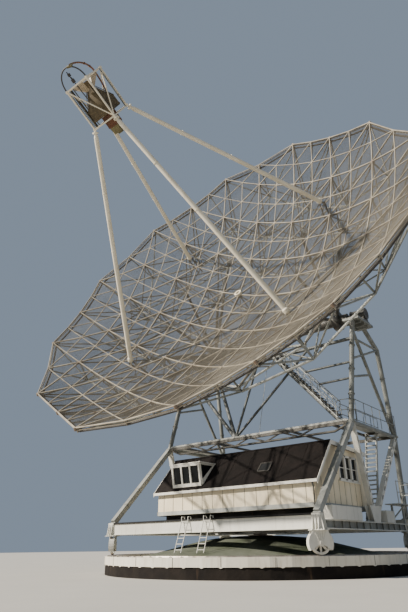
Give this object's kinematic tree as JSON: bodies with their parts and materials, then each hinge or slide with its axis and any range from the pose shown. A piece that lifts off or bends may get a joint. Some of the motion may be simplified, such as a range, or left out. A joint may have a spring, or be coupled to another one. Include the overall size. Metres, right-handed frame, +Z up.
{
  "type": "radio telescope",
  "caption": "Radio telescope: mesh paraboloid dish with four feed legs, tilting on a lattice-towered carriage with a cabin that turns on a ring rail.",
  "frame": {"origin": "centre of the foundation's underside, on the azimuth axis, at ground level", "axes": "+Z up along the azimuth axis, X along the elevation axis, and the dish looks towards -Y and up at rest"},
  "size_m": [24.24, 22.3323, 27.1506],
  "materials": {
    "reflector_mesh": "weathered wire mesh",
    "lattice_paint": "weathered paint over galvanised tube",
    "tower_paint": "weathered grey-green paint",
    "leg_paint": "weathered cream paint",
    "hoop_steel": "rusted dark steel",
    "feed_box_paint": "dark brown paint",
    "feed_horn_cover": "tan cover",
    "foundation_concrete": "mossy concrete",
    "ring_paint": "whitewashed concrete",
    "rail_steel": "worn steel",
    "wheel_iron": "worn cast iron",
    "carriage_paint": "weathered off-white paint",
    "bearing_paint": "weathered off-white paint",
    "cabin_panel": "cream cladding panels",
    "cabin_trim": "white trim",
    "roof_sheet": "dark seamed roofing"
  },
  "bodies": {
    "foundation": {"foundation_base": "foundation_concrete", "ring_beam": "ring_paint", "rail": "rail_steel", "centre_pin": "rail_steel"},
    "turntable": {"carriage_frame": "carriage_paint", "tower_right": "tower_paint", "tower_left": "tower_paint", "bearing_block_right": "bearing_paint", "bearing_block_left": "bearing_paint", "cross_frame": "tower_paint", "portal_bracing": "tower_paint", "tower_stair": "carriage_paint", "side_landing": "carriage_paint", "cabin_shell": "cabin_panel", "cabin_roof": "roof_sheet", "cabin_dormer": "cabin_trim", "front_ladder_a": "carriage_paint", "front_ladder_b": "carriage_paint", "cabinet_front": "carriage_paint", "cabinet_rear": "carriage_paint", "wheel_housing_front_right": "carriage_paint", "wheel_housing_front_left": "carriage_paint", "wheel_housing_rear_right": "carriage_paint", "wheel_housing_rear_left": "carriage_paint"},
    "wheel_front_right": {"wheel_front_right": "wheel_iron"},
    "wheel_front_left": {"wheel_front_left": "wheel_iron"},
    "wheel_rear_right": {"wheel_rear_right": "wheel_iron"},
    "wheel_rear_left": {"wheel_rear_left": "wheel_iron"},
    "dish": {"reflector_skin": "reflector_mesh", "front_lattice": "lattice_paint", "back_lattice": "lattice_paint", "cradle_left": "tower_paint", "cradle_right": "tower_paint", "elevation_axle": "tower_paint", "feed_leg_near": "leg_paint", "feed_leg_left": "leg_paint", "feed_leg_far": "leg_paint", "feed_leg_right": "leg_paint", "feed_cage": "leg_paint", "feed_hoops": "hoop_steel", "feed_box": "feed_box_paint", "feed_horn": "feed_horn_cover", "vertex_ring": "leg_paint"}
  },
  "joints": [
    {"name": "azimuth", "type": "hinge", "parent": "foundation", "child": "turntable", "pos_m": [0, 0, 1.5], "axis": [0, 0, 1], "range_deg": [-270, 270]},
    {"name": "roll_front_right", "type": "hinge", "parent": "turntable", "child": "wheel_front_right", "pos_m": [5.837, -4.70951, 1.2123], "axis": [0.7783, -0.6279, 0], "continuous": true},
    {"name": "roll_front_left", "type": "hinge", "parent": "turntable", "child": "wheel_front_left", "pos_m": [-5.837, -4.70951, 1.2123], "axis": [-0.7783, -0.6279, 0], "continuous": true},
    {"name": "roll_rear_right", "type": "hinge", "parent": "turntable", "child": "wheel_rear_right", "pos_m": [5.837, 4.70951, 1.2123], "axis": [0.7783, 0.6279, 0], "continuous": true},
    {"name": "roll_rear_left", "type": "hinge", "parent": "turntable", "child": "wheel_rear_left", "pos_m": [-5.837, 4.70951, 1.2123], "axis": [-0.7783, 0.6279, 0], "continuous": true},
    {"name": "elevation", "type": "hinge", "parent": "turntable", "child": "dish", "pos_m": [0, 2.44, 12.97], "axis": [-1, 0, 0], "range_deg": [-19.7, 60.3]}
  ],
  "couplings": [
    {"joint": "roll_front_right", "follows": "azimuth", "ratio": -18.75},
    {"joint": "roll_front_left", "follows": "azimuth", "ratio": -18.75},
    {"joint": "roll_rear_right", "follows": "azimuth", "ratio": -18.75},
    {"joint": "roll_rear_left", "follows": "azimuth", "ratio": -18.75}
  ]
}
